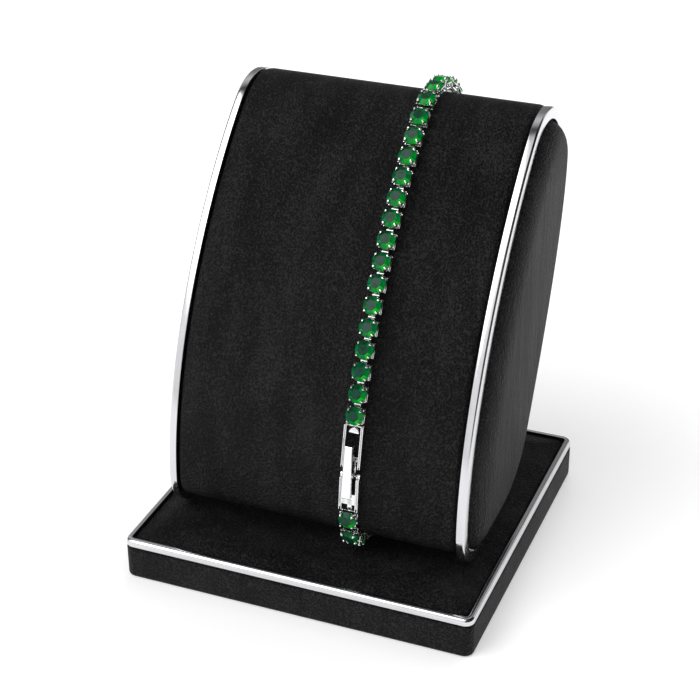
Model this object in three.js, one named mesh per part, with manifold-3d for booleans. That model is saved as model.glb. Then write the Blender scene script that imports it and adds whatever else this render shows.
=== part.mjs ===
// A tennis bracelet of round green stones in four prong settings, closed by a fold over clasp,
// on its covered display block with a square base. Millimetres, +Z up, the front of the stand
// faces -Y. The origin is the middle of the underside of the base.
import * as THREE from "three";
import { mergeVertices } from "three/addons/utils/BufferGeometryUtils.js";
import Module from "manifold-3d";

const wasm = await Module();
wasm.setup();

// Air between neighbouring pieces that don't move, and round a pin that something turns on.
const CLEARANCE = 0.3;
const RUNNING_CLEARANCE = 0.12;

// How far a cutting tool reaches past what it cuts, and how finely round stretches are divided.
const CUT_PAST = 1;
const EDGE_STEPS = 2;
const RING_EDGE_STEPS = 1;
const CROWN_STEPS = 3;
const CORNER_DIVISIONS = 2;
const PATH_DIVISIONS = 60;
const KNUCKLE_SIDES = 12;
const PIN_SIDES = 10;
const STONE_SIDES = 8;

// Base: a covered box, a polished strip round its top edge and a padded top inside the strip.
const BASE_WIDTH = 60;
const BASE_DEPTH = 57;
const BASE_CORNER_RADIUS = 1.6;
const BOX_HEIGHT = 5.7;
const BOX_EDGE_RADIUS = 0.5;
const TRIM_HEIGHT = 1.2;
const TRIM_WALL = 1;
const TRIM_EDGE_RADIUS = 0.3;
const PAD_GAP = 0.4;
const PAD_CORNER_RADIUS = 1.2;
const PAD_THICKNESS = 1.5;
const PAD_EDGE_RADIUS = 0.9;

// Block: a covered body between two polished rings, each ring framing a padded end panel.
// Seen from the side it leans back on a flat foot, round at the toe and at the crest.
const BLOCK_WIDTH = 51;
const BLOCK_SETBACK = 8.8;
const BLOCK_DEPTH = 47.3;
const BLOCK_HEIGHT = 65;
const TOE_RADIUS = 7;
const CREST_RADIUS = 10.3;
const CREST_START_DEG = 128;
const FRONT_RISE = 22;
const CREST_RUN = 17;
const BACK_DROP = 14;
const HEEL_RUN = 14;
const HEEL_HEIGHT = 9.8;
const HEEL_SETBACK = 30.2;
const HEEL_SLOPE_DEG = 60;
const RING_WIDTH = 1.35;
const RING_WALL = 1.9;
const RING_EDGE_RADIUS = 0.25;
const BODY_EDGE_RADIUS = 0.6;
const PANEL_DOME = 1.3;
const PANEL_EDGE_RUN = 4;
const PANEL_SHOULDER = 0.9;
const BLOCK_DIVISIONS = 7;

// Bracelet: one stone to a link, each link hinged to the next by a short tab.
const STONE_DIAMETER = 3;
const TABLE_SHARE = 0.53;
const CROWN_HEIGHT = 0.5;
const PAVILION_DEPTH = 1.3;
const LINK_PITCH = 3.4;
const LINK_HEIGHT = 2.15;
const GIRDLE_HEIGHT = 1.5;
const PRONG_WIDTH = 0.42;
const PRONG_SPREAD = 2.06;
const RAIL_WIDTH = 0.3;
const RAIL_HEIGHT = 0.34;
const RAIL_LIFT = 0.1;
const TAB_WIDTH = 0.8;
const TAB_HEIGHT = 0.3;
const BRACELET_OFFSET = 6.8;
const CLASP_TOP_HEIGHT = 31.1;

// Clasp: an upper and a lower frame on a cross pin, and a cover lever on a pin of its own.
const CLASP_LENGTH = 13.9;
const UPPER_FRAME_LENGTH = 8.2;
const CLASP_WIDTH = 3.2;
const CLASP_RAIL_WIDTH = 0.42;
const LOWER_RAIL_WIDTH = 0.5;
const CLASP_RAIL_HEIGHT = 1.2;
const RAIL_OVERLAP = 0.1;
const CLASP_BAR_LENGTH = 0.7;
const CLASP_BAR_HEIGHT = 0.5;
const DOME_TAB_RADIUS = 0.85;
const DOME_TAB_HEIGHT = 0.35;
const RAIL_END_ABOVE_HINGE = 1.4;
const ARM_BAR_ABOVE_RAIL_END = 1.6;
const ARM_WIDTH = 0.3;
const KNUCKLE_RADIUS = 0.55;
const OUTER_KNUCKLE_WIDTH = 0.6;
const PIN_RADIUS = 0.2;
const PIN_END_INSET = 0.05;
const CROSS_PLATE_LENGTH = 1.9;
const LEVER_LENGTH = 8.7;
const LEVER_WIDTH = 1.6;
const LEVER_HEIGHT = 1.3;
const LEVER_WALL = 0.25;
const LEVER_ABOVE_HINGE = 5.45;
const LEVER_TOP = 2.6;
const LEVER_BEYOND_PIN = 0.4;
const LEVER_PIN_RADIUS = 0.15;
const LUG_RADIUS = 0.33;

const X_AXIS = new THREE.Vector3(1, 0, 0);

// Heights of the stack on the base, and the places of the block on it.
const boxTop = BOX_HEIGHT;
const trimBottom = boxTop + CLEARANCE;
const padTop = trimBottom + PAD_THICKNESS;
const ringUnderside = padTop + CLEARANCE;
const blockFront = BLOCK_SETBACK - BASE_DEPTH / 2;
const blockBack = blockFront + BLOCK_DEPTH;
const ringOuter = BLOCK_WIDTH / 2;
const ringInner = ringOuter - RING_WIDTH;
const bodyEnd = ringInner - CLEARANCE;

const materials = {
  leatherette: new THREE.MeshStandardMaterial({ color: 0x17171a, roughness: 0.62, metalness: 0 }),
  trim: new THREE.MeshStandardMaterial({ color: 0xd9dadd, roughness: 0.12, metalness: 1 }),
  silver: new THREE.MeshStandardMaterial({ color: 0xe6e7ea, roughness: 0.14, metalness: 1 }),
  stone: new THREE.MeshStandardMaterial({ color: 0x0a7a35, roughness: 0.06, metalness: 0 }),
};

// Turns a closed geometry into a solid that can be joined and cut.
function solidOf(geometry) {
  const bare = geometry.clone();
  bare.deleteAttribute("normal");
  bare.deleteAttribute("uv");
  const merged = mergeVertices(bare, 1e-4);
  const mesh = new wasm.Mesh({
    numProp: 3,
    vertProperties: merged.attributes.position.array,
    triVerts: new Uint32Array(merged.index.array),
  });
  return new wasm.Manifold(mesh);
}

function geometryOf(solid) {
  const mesh = solid.getMesh();
  const geometry = new THREE.BufferGeometry();
  geometry.setAttribute("position", new THREE.BufferAttribute(mesh.vertProperties, 3));
  geometry.setIndex(new THREE.BufferAttribute(mesh.triVerts, 1));
  geometry.computeVertexNormals();
  return geometry;
}

function join(geometries) {
  let whole = solidOf(geometries[0]);
  for (const geometry of geometries.slice(1)) whole = whole.add(solidOf(geometry));
  return geometryOf(whole);
}

function cut(geometry, tools) {
  let whole = solidOf(geometry);
  for (const tool of tools) whole = whole.subtract(solidOf(tool));
  return geometryOf(whole);
}

function box(x0, x1, y0, y1, z0, z1) {
  const geometry = new THREE.BoxGeometry(x1 - x0, y1 - y0, z1 - z0);
  return geometry.translate((x0 + x1) / 2, (y0 + y1) / 2, (z0 + z1) / 2);
}

// A cylinder along X from x0 to x1 with its axis at y, z.
function barrel(x0, x1, y, z, radius, sides) {
  const geometry = new THREE.CylinderGeometry(radius, radius, x1 - x0, sides);
  return geometry.rotateZ(Math.PI / 2).translate((x0 + x1) / 2, y, z);
}

// Lofts a closed body through rings of points. Each ring is a list of Vector3 of one length.
function loft(rings, capPoints) {
  const count = rings[0].length;
  const positions = rings.flat().flatMap((p) => [p.x, p.y, p.z]);
  const triangles = [];
  for (let r = 0; r + 1 < rings.length; r++) {
    for (let i = 0; i < count; i++) {
      const a = r * count + i;
      const b = r * count + ((i + 1) % count);
      triangles.push(a, b, b + count, a, b + count, a + count);
    }
  }
  const last = (rings.length - 1) * count;
  for (const [a, b, c] of THREE.ShapeUtils.triangulateShape(capPoints, [])) {
    triangles.push(c, b, a, last + a, last + b, last + c);
  }
  const geometry = new THREE.BufferGeometry();
  geometry.setAttribute("position", new THREE.Float32BufferAttribute(positions, 3));
  geometry.setIndex(triangles);
  return geometry;
}

// Moves each point of a closed outline inwards by a distance, outwards where it is negative.
function inset(points, distance) {
  const count = points.length;
  const side = THREE.ShapeUtils.isClockWise(points) ? -1 : 1;
  return points.map((point, i) => {
    const before = points[(i + count - 1) % count];
    const after = points[(i + 1) % count];
    const along = after.clone().sub(before).normalize();
    return new THREE.Vector2(point.x - side * along.y * distance, point.y + side * along.x * distance);
  });
}

function withoutRepeats(points) {
  return points.filter((p, i) => p.distanceTo(points[(i + 1) % points.length]) > 1e-3);
}

// Sections of a rounded edge: how far in, and how far from the end, on a quarter circle.
function roundedEdge(radius, steps) {
  return Array.from({ length: steps + 1 }, (_, i) => {
    const turn = (i / steps) * (Math.PI / 2);
    return { inset: radius * (1 - Math.sin(turn)), rise: radius * (1 - Math.cos(turn)) };
  });
}

// The side view of the block as a clockwise outline in Y and Z, standing on a flat underside.
function blockOutline(underside, divisions) {
  const toeRadius = TOE_RADIUS - (underside - ringUnderside);
  const toeTop = ringUnderside + TOE_RADIUS;
  const crestY = blockBack - CREST_RADIUS;
  const crestZ = ringUnderside + BLOCK_HEIGHT - CREST_RADIUS;
  const start = THREE.MathUtils.degToRad(CREST_START_DEG);
  const crestStart = new THREE.Vector2(
    crestY + CREST_RADIUS * Math.cos(start),
    crestZ + CREST_RADIUS * Math.sin(start),
  );
  const slope = THREE.MathUtils.degToRad(HEEL_SLOPE_DEG);
  const heelTop = new THREE.Vector2(blockFront + HEEL_SETBACK, ringUnderside + HEEL_HEIGHT);
  const heelDrop = heelTop.y - underside;
  const heelCorner = heelTop.x - heelDrop / Math.tan(slope);
  const heelEnd = heelCorner - heelDrop / Math.sin(slope);
  const shape = new THREE.Shape();
  shape.moveTo(blockFront + toeRadius, underside);
  shape.absarc(blockFront + toeRadius, toeTop, toeRadius, -Math.PI / 2, -Math.PI, true);
  shape.bezierCurveTo(
    blockFront,
    toeTop + FRONT_RISE,
    crestStart.x - CREST_RUN * Math.sin(start),
    crestStart.y + CREST_RUN * Math.cos(start),
    crestStart.x,
    crestStart.y,
  );
  shape.absarc(crestY, crestZ, CREST_RADIUS, start, 0, true);
  shape.bezierCurveTo(
    blockBack,
    crestZ - BACK_DROP,
    heelTop.x + HEEL_RUN * Math.cos(slope),
    heelTop.y + HEEL_RUN * Math.sin(slope),
    heelTop.x,
    heelTop.y,
  );
  shape.quadraticCurveTo(heelCorner, underside, heelEnd, underside);
  return withoutRepeats(shape.getPoints(divisions));
}

// A body along X whose side view is the outline, with rows of x and inset.
function blockSlab(outline, rows) {
  const ordered = THREE.ShapeUtils.isClockWise(outline) ? [...outline].reverse() : outline;
  const rings = rows.map((row) =>
    inset(ordered, row.inset).map((p) => new THREE.Vector3(row.x, p.x, p.y)),
  );
  return loft(rings, ordered);
}

function roundedRectangle(width, depth, radius) {
  const x = width / 2 - radius;
  const y = depth / 2 - radius;
  const shape = new THREE.Shape();
  shape.absarc(x, -y, radius, -Math.PI / 2, 0, false);
  shape.absarc(x, y, radius, 0, Math.PI / 2, false);
  shape.absarc(-x, y, radius, Math.PI / 2, Math.PI, false);
  shape.absarc(-x, -y, radius, Math.PI, 1.5 * Math.PI, false);
  return withoutRepeats(shape.getPoints(CORNER_DIVISIONS));
}

// A flat body on the rounded outline of the base, with rows of z and inset.
function baseSlab(outline, rows) {
  const rings = rows.map((row) =>
    inset(outline, row.inset).map((p) => new THREE.Vector3(p.x, p.y, row.z)),
  );
  return loft(rings, outline);
}

function slabRows(bottom, top, bottomRadius, topRadius) {
  const low = roundedEdge(bottomRadius, EDGE_STEPS).map((e) => ({ z: bottom + e.rise, inset: e.inset }));
  const high = roundedEdge(topRadius, EDGE_STEPS).map((e) => ({ z: top - e.rise, inset: e.inset }));
  return [...low, ...high.reverse()];
}

// Base pieces
const baseOutline = roundedRectangle(BASE_WIDTH, BASE_DEPTH, BASE_CORNER_RADIUS);

function baseBox() {
  return baseSlab(baseOutline, slabRows(0, boxTop, BOX_EDGE_RADIUS, TRIM_EDGE_RADIUS));
}

function baseTrim() {
  const top = trimBottom + TRIM_HEIGHT;
  const outer = slabRows(trimBottom, top, TRIM_EDGE_RADIUS, TRIM_EDGE_RADIUS);
  const hole = [
    { z: trimBottom - CUT_PAST, inset: TRIM_WALL },
    { z: top + CUT_PAST, inset: TRIM_WALL },
  ];
  return cut(baseSlab(baseOutline, outer), [baseSlab(baseOutline, hole)]);
}

function basePad() {
  const shrink = 2 * (TRIM_WALL + PAD_GAP);
  const outline = roundedRectangle(BASE_WIDTH - shrink, BASE_DEPTH - shrink, PAD_CORNER_RADIUS);
  return baseSlab(outline, slabRows(trimBottom, padTop, TRIM_EDGE_RADIUS, PAD_EDGE_RADIUS));
}

// Bracelet path: the outline of the body, moved out to the height at which the tabs lie.
const tabHeight = RAIL_LIFT + RAIL_HEIGHT / 2;
const linkSag = LINK_PITCH ** 2 / (8 * (TOE_RADIUS - LINK_HEIGHT - CLEARANCE));
const rideHeight = CLEARANCE + linkSag;
const bodyUnderside = ringUnderside + rideHeight + LINK_HEIGHT;

function measuredPath() {
  const outline = blockOutline(bodyUnderside, PATH_DIVISIONS);
  const route = inset(outline, -(rideHeight + tabHeight));
  const lengths = [0];
  route.forEach((point, i) => {
    lengths.push(lengths[i] + point.distanceTo(route[(i + 1) % route.length]));
  });
  return { route, lengths, total: lengths[route.length] };
}

const path = measuredPath();

// The point of the path at a distance along it, as a place beside the middle of the block.
function along(distance) {
  const s = ((distance % path.total) + path.total) % path.total;
  const i = path.lengths.findIndex((length, k) => length <= s && s < path.lengths[k + 1]);
  const share = (s - path.lengths[i]) / (path.lengths[i + 1] - path.lengths[i]);
  const point = path.route[i].clone().lerp(path.route[(i + 1) % path.route.length], share);
  return new THREE.Vector3(BRACELET_OFFSET, point.x, point.y);
}

// How far along the path its front reaches a height.
function distanceAtHeight(height) {
  const i = path.route.findIndex((p) => p.x < 0 && p.y >= height);
  const above = path.route[i].y - height;
  const climb = path.route[i].y - path.route[i - 1].y;
  return path.lengths[i] - (above / climb) * (path.lengths[i] - path.lengths[i - 1]);
}

const crestIndex = path.route.reduce((best, p, i) => (p.y > path.route[best].y ? i : best), 0);
const claspTop = distanceAtHeight(CLASP_TOP_HEIGHT);
const linkCount = Math.round((path.total - CLASP_LENGTH) / LINK_PITCH);
const pitch = (path.total - CLASP_LENGTH) / linkCount;
const frontCount = Math.round((path.lengths[crestIndex] - claspTop) / pitch);

// A frame on the path from one distance to another: Y runs along the bracelet, Z points out
// from the block, and the origin is at the foot of the link, under the middle of the stretch.
function frameBetween(from, to) {
  const a = along(from);
  const b = along(to);
  const forward = b.clone().sub(a).normalize();
  const out = X_AXIS.clone().cross(forward);
  const origin = a.add(b).multiplyScalar(0.5).addScaledVector(out, -tabHeight);
  return new THREE.Matrix4().makeBasis(X_AXIS, forward, out).setPosition(origin);
}

// A round stone with a flat table, eight crown facets and eight pavilion facets.
function stone() {
  const radius = STONE_DIAMETER / 2;
  const profile = [
    new THREE.Vector2(0, GIRDLE_HEIGHT - PAVILION_DEPTH),
    new THREE.Vector2(radius, GIRDLE_HEIGHT),
    new THREE.Vector2(radius * TABLE_SHARE, GIRDLE_HEIGHT + CROWN_HEIGHT),
    new THREE.Vector2(0, GIRDLE_HEIGHT + CROWN_HEIGHT),
  ];
  return new THREE.LatheGeometry(profile, STONE_SIDES).rotateX(Math.PI / 2).rotateZ(Math.PI / STONE_SIDES);
}

// The setting of one stone: a square rail low down and a prong at each of its corners.
function setting() {
  const middle = PRONG_SPREAD / 2;
  const outer = middle + RAIL_WIDTH / 2;
  const inner = middle - RAIL_WIDTH / 2;
  const top = RAIL_LIFT + RAIL_HEIGHT;
  const rail = cut(box(-outer, outer, -outer, outer, RAIL_LIFT, top), [
    box(-inner, inner, -inner, inner, RAIL_LIFT - CUT_PAST, top + CUT_PAST),
  ]);
  const half = PRONG_WIDTH / 2;
  const prongs = [];
  for (const x of [-middle, middle]) {
    for (const y of [-middle, middle]) {
      prongs.push(box(x - half, x + half, y - half, y + half, 0, LINK_HEIGHT));
    }
  }
  return join([rail, ...prongs]);
}

// A flat tab between two points of the path, which carries one link on the next.
function tab(from, to) {
  const a = along(from);
  const b = along(to);
  const length = a.distanceTo(b);
  const half = TAB_WIDTH / 2;
  const flat = box(-half, half, -length / 2, length / 2, -TAB_HEIGHT / 2, TAB_HEIGHT / 2);
  const forward = b.clone().sub(a).normalize();
  const out = X_AXIS.clone().cross(forward);
  const middle = a.add(b).multiplyScalar(0.5);
  return flat.applyMatrix4(new THREE.Matrix4().makeBasis(X_AXIS, forward, out).setPosition(middle));
}

// A run of links from link number first up to but not including number end.
function chain(first, end) {
  const link = join([stone(), setting()]);
  const reach = PRONG_SPREAD / 2;
  const railEdge = reach + RAIL_WIDTH / 2;
  const pieces = [];
  for (let i = first; i < end; i++) {
    const start = claspTop + i * pitch;
    pieces.push(link.clone().applyMatrix4(frameBetween(start, start + pitch)));
    const tabStart = start + pitch / 2 + reach;
    const runsOn = i + 1 < end;
    const tabEnd = runsOn ? tabStart + pitch - 2 * reach : start + 1.5 * pitch - railEdge - CLEARANCE;
    if (runsOn || i + 1 < linkCount) pieces.push(tab(tabStart, tabEnd));
  }
  return join(pieces);
}

// Clasp frames. Local Y runs up the front of the block, Z points out from it.
const hingePoint = claspTop - UPPER_FRAME_LENGTH;
const claspBottom = claspTop - CLASP_LENGTH;
const railOuter = CLASP_WIDTH / 2;
const railInner = railOuter - CLASP_RAIL_WIDTH;
const linkReach = pitch / 2 - PRONG_SPREAD / 2 - RAIL_WIDTH / 2 - CLEARANCE;
const railReach = pitch / 2 - PRONG_SPREAD / 2 - PRONG_WIDTH / 2 - CLEARANCE;
const holeRadius = PIN_RADIUS + RUNNING_CLEARANCE;

function sideRails(y0, y1, railWidth) {
  const inner = railOuter - railWidth;
  return [
    box(-railOuter, -inner, y0, y1, 0, CLASP_RAIL_HEIGHT),
    box(inner, railOuter, y0, y1, 0, CLASP_RAIL_HEIGHT),
  ];
}

function crossBar(y0, y1) {
  return box(-railInner - RAIL_OVERLAP, railInner + RAIL_OVERLAP, y0, y1, 0, CLASP_BAR_HEIGHT);
}

function linkTab(y0, y1) {
  return box(-TAB_WIDTH / 2, TAB_WIDTH / 2, y0, y1, 0, CLASP_BAR_HEIGHT);
}

function domeTab(y, z) {
  const shape = new THREE.Shape();
  shape.absarc(0, 0, DOME_TAB_RADIUS, 0, Math.PI, false);
  const depth = DOME_TAB_HEIGHT;
  const plate = new THREE.ExtrudeGeometry(shape, { depth, bevelEnabled: false, curveSegments: KNUCKLE_SIDES / 2 });
  return plate.translate(0, y, z);
}

// The upper frame: two rails, a bar at the top with its half round tab, and lower down a
// cross bar whose two thin arms carry the middle knuckle of the hinge.
function upperFrame() {
  const top = UPPER_FRAME_LENGTH / 2;
  const hinge = -top;
  const railEnd = hinge + RAIL_END_ABOVE_HINGE;
  const barTop = railEnd + ARM_BAR_ABOVE_RAIL_END;
  const knuckleHalf = railOuter - OUTER_KNUCKLE_WIDTH - CLEARANCE;
  const armInner = knuckleHalf - ARM_WIDTH;
  const pieces = [
    ...sideRails(railEnd, top + railReach, CLASP_RAIL_WIDTH),
    crossBar(top - CLASP_BAR_LENGTH, top),
    linkTab(top - CLASP_BAR_LENGTH, top + linkReach),
    domeTab(top - CLASP_BAR_LENGTH - DOME_TAB_RADIUS / 2, CLASP_BAR_HEIGHT - DOME_TAB_HEIGHT / 2),
    crossBar(barTop - CLASP_BAR_LENGTH, barTop),
    box(armInner, knuckleHalf, hinge, barTop - CLASP_BAR_LENGTH / 2, 0, CLASP_BAR_HEIGHT),
    box(-knuckleHalf, -armInner, hinge, barTop - CLASP_BAR_LENGTH / 2, 0, CLASP_BAR_HEIGHT),
    barrel(-knuckleHalf, knuckleHalf, hinge, tabHeight, KNUCKLE_RADIUS, KNUCKLE_SIDES),
  ];
  const hole = barrel(-CLASP_WIDTH, CLASP_WIDTH, hinge, tabHeight, holeRadius, PIN_SIDES);
  return cut(join(pieces), [hole]).applyMatrix4(frameBetween(hingePoint, claspTop));
}

// The lever lies over both frames. Its pin runs through its walls near its lower end.
const leverTopPoint = hingePoint + LEVER_ABOVE_HINGE;
const leverFrame = frameBetween(leverTopPoint - LEVER_LENGTH, leverTopPoint);
const leverPinY = -LEVER_LENGTH / 2 + LEVER_BEYOND_PIN;
const leverPinZ = LEVER_TOP - LEVER_WALL - RUNNING_CLEARANCE - LUG_RADIUS;

// The lower frame: two thicker rails with the outer knuckles, a cross plate, and on it the lug
// with the riveted pin on which the lever turns.
function lowerFrame() {
  const length = CLASP_LENGTH - UPPER_FRAME_LENGTH;
  const hinge = length / 2;
  const bottom = -hinge;
  const railTop = hinge - KNUCKLE_RADIUS / 2;
  const toLocal = frameBetween(claspBottom, hingePoint).invert();
  const pin = new THREE.Vector3(0, leverPinY, leverPinZ).applyMatrix4(leverFrame).applyMatrix4(toLocal);
  const plateTop = pin.y - LEVER_BEYOND_PIN - RUNNING_CLEARANCE;
  const lugHalf = LEVER_WIDTH / 2 - LEVER_WALL - CLEARANCE;
  const pinHalf = LEVER_WIDTH / 2;
  const knuckleInner = railOuter - OUTER_KNUCKLE_WIDTH;
  const pieces = [
    ...sideRails(bottom - railReach, railTop, LOWER_RAIL_WIDTH),
    crossBar(plateTop - CROSS_PLATE_LENGTH, plateTop),
    linkTab(bottom - linkReach, plateTop - CROSS_PLATE_LENGTH / 2),
    box(-lugHalf, lugHalf, plateTop - CROSS_PLATE_LENGTH / 2, pin.y + LUG_RADIUS, 0, CLASP_BAR_HEIGHT),
    box(-lugHalf, lugHalf, pin.y - LUG_RADIUS / 2, pin.y + LUG_RADIUS, 0, pin.z),
    barrel(-lugHalf, lugHalf, pin.y, pin.z, LUG_RADIUS, KNUCKLE_SIDES),
    barrel(-pinHalf, pinHalf, pin.y, pin.z, LEVER_PIN_RADIUS, PIN_SIDES),
    barrel(knuckleInner, railOuter, hinge, tabHeight, KNUCKLE_RADIUS, KNUCKLE_SIDES),
    barrel(-railOuter, -knuckleInner, hinge, tabHeight, KNUCKLE_RADIUS, KNUCKLE_SIDES),
  ];
  const hole = barrel(-CLASP_WIDTH, CLASP_WIDTH, hinge, tabHeight, holeRadius, PIN_SIDES);
  return cut(join(pieces), [hole]).applyMatrix4(frameBetween(claspBottom, hingePoint));
}

function hingePin() {
  const half = railOuter - PIN_END_INSET;
  const place = frameBetween(claspBottom, hingePoint);
  const hinge = (CLASP_LENGTH - UPPER_FRAME_LENGTH) / 2;
  return barrel(-half, half, hinge, tabHeight, PIN_RADIUS, PIN_SIDES).applyMatrix4(place);
}

// The lever: a polished cover plate with a wall down each side and across its upper end.
function lever() {
  const half = LEVER_LENGTH / 2;
  const side = LEVER_WIDTH / 2;
  const low = LEVER_TOP - LEVER_HEIGHT;
  const channel = box(
    -side + LEVER_WALL,
    side - LEVER_WALL,
    -half - CLEARANCE,
    half - LEVER_WALL,
    low - CLEARANCE,
    LEVER_TOP - LEVER_WALL,
  );
  const eye = LEVER_PIN_RADIUS + RUNNING_CLEARANCE;
  const hole = barrel(-LEVER_WIDTH, LEVER_WIDTH, leverPinY, leverPinZ, eye, PIN_SIDES);
  const cover = box(-side, side, -half, half, low, LEVER_TOP);
  return cut(cover, [channel, hole]).applyMatrix4(leverFrame);
}

// Block pieces
function blockBody() {
  const rows = roundedEdge(BODY_EDGE_RADIUS, EDGE_STEPS);
  const left = rows.map((row) => ({ x: -bodyEnd + row.rise, inset: row.inset }));
  const right = rows.map((row) => ({ x: bodyEnd - row.rise, inset: row.inset }));
  return blockSlab(blockOutline(bodyUnderside, BLOCK_DIVISIONS), [...left, ...right.reverse()]);
}

function blockRing(side) {
  const outline = blockOutline(ringUnderside, BLOCK_DIVISIONS);
  const rows = roundedEdge(RING_EDGE_RADIUS, RING_EDGE_STEPS);
  const near = rows.map((row) => ({ x: ringInner + row.rise, inset: row.inset }));
  const far = rows.map((row) => ({ x: ringOuter - row.rise, inset: row.inset }));
  const hole = [
    { x: ringInner - CUT_PAST, inset: RING_WALL },
    { x: ringOuter + CUT_PAST, inset: RING_WALL },
  ];
  const band = cut(blockSlab(outline, [...near, ...far.reverse()]), [blockSlab(outline, hole)]);
  return side < 0 ? mirrored(band) : band;
}

function endPanel(side) {
  const outline = blockOutline(ringUnderside, BLOCK_DIVISIONS);
  const edge = RING_WALL + CLEARANCE;
  const shoulder = ringOuter - PANEL_SHOULDER;
  const crown = roundedEdge(1, CROWN_STEPS).map((row) => ({
    x: shoulder + (PANEL_SHOULDER + PANEL_DOME) * (1 - row.rise),
    inset: edge + PANEL_EDGE_RUN * row.inset,
  }));
  const panel = blockSlab(outline, [{ x: ringInner, inset: edge }, ...crown.reverse()]);
  return side < 0 ? mirrored(panel) : panel;
}

function mirrored(geometry) {
  return geometryOf(solidOf(geometry).mirror([1, 0, 0]));
}

const root = new THREE.Group();

function addPiece(name, geometry, material) {
  const mesh = new THREE.Mesh(geometry, material);
  mesh.name = name;
  root.add(mesh);
}

addPiece("base_box", baseBox(), materials.leatherette);
addPiece("base_trim", baseTrim(), materials.trim);
addPiece("base_pad", basePad(), materials.leatherette);
addPiece("block_body", blockBody(), materials.leatherette);
addPiece("ring_left", blockRing(-1), materials.trim);
addPiece("ring_right", blockRing(1), materials.trim);
addPiece("end_panel_left", endPanel(-1), materials.leatherette);
addPiece("end_panel_right", endPanel(1), materials.leatherette);
addPiece("chain_front", chain(0, frontCount), materials.stone);
addPiece("chain_back", chain(frontCount, linkCount), materials.stone);
addPiece("clasp_upper_frame", upperFrame(), materials.silver);
addPiece("clasp_lower_frame", lowerFrame(), materials.silver);
addPiece("clasp_hinge_pin", hingePin(), materials.silver);
addPiece("clasp_lever", lever(), materials.silver);

export default root;
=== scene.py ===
import math
import bmesh
import bpy
from mathutils import Matrix, Vector


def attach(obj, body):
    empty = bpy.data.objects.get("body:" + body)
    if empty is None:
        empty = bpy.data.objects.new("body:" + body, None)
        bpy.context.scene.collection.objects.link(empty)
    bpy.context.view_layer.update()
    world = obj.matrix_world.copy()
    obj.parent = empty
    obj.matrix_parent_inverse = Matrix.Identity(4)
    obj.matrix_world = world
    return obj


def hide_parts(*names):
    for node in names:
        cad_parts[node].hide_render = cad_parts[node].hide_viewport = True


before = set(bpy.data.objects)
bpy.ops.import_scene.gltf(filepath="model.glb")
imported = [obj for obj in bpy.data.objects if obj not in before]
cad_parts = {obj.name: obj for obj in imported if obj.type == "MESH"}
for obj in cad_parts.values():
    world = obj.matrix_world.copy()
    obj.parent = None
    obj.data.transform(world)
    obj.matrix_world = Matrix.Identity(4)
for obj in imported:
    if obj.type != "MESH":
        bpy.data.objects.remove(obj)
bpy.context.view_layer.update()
mm = 0.001


# Base box: a fibreboard plinth wrapped in black grained leatherette, its corners rounded before
# wrapping and the cover drawn under the lower edge. The edges are softer where the cover turns.
class Wire:
    """One socket of a material. Sums and products of wires add Math nodes to it."""

    def __init__(self, tree, socket=None):
        self.tree = tree
        self.socket = socket

    def node(self, kind, settings=None, values=None, output=0):
        made = self.tree.nodes.new(kind)
        for name, value in (settings or {}).items():
            if name == "stops":
                ramp = made.color_ramp
                ramp.elements[0].position, ramp.elements[0].color = value[0]
                ramp.elements[1].position, ramp.elements[1].color = value[-1]
                for place, color in value[1:-1]:
                    ramp.elements.new(place).color = color
            else:
                setattr(made, name, value)
        for name, value in (values or {}).items():
            if isinstance(value, Wire):
                self.tree.links.new(value.socket, made.inputs[name])
            else:
                made.inputs[name].default_value = value
        return Wire(self.tree, made.outputs[output])

    def maths(self, operation, first, second):
        return self.node("ShaderNodeMath", {"operation": operation}, {0: first, 1: second})

    def __add__(self, other):
        return self.maths("ADD", self, other)

    def __radd__(self, other):
        return self.maths("ADD", other, self)

    def __mul__(self, other):
        return self.maths("MULTIPLY", self, other)

    def __rmul__(self, other):
        return self.maths("MULTIPLY", other, self)


def new_material(name, constants):
    """A material, its first wire and its main shader, with the shader's constant sockets set."""
    material = bpy.data.materials.new(name)
    material.use_nodes = True
    shader = material.node_tree.nodes["Principled BSDF"]
    for socket, value in constants.items():
        shader.inputs[socket].default_value = value
    return material, Wire(material.node_tree), shader


def feed(shader, socket, wire):
    wire.tree.links.new(wire.socket, shader.inputs[socket])


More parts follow.
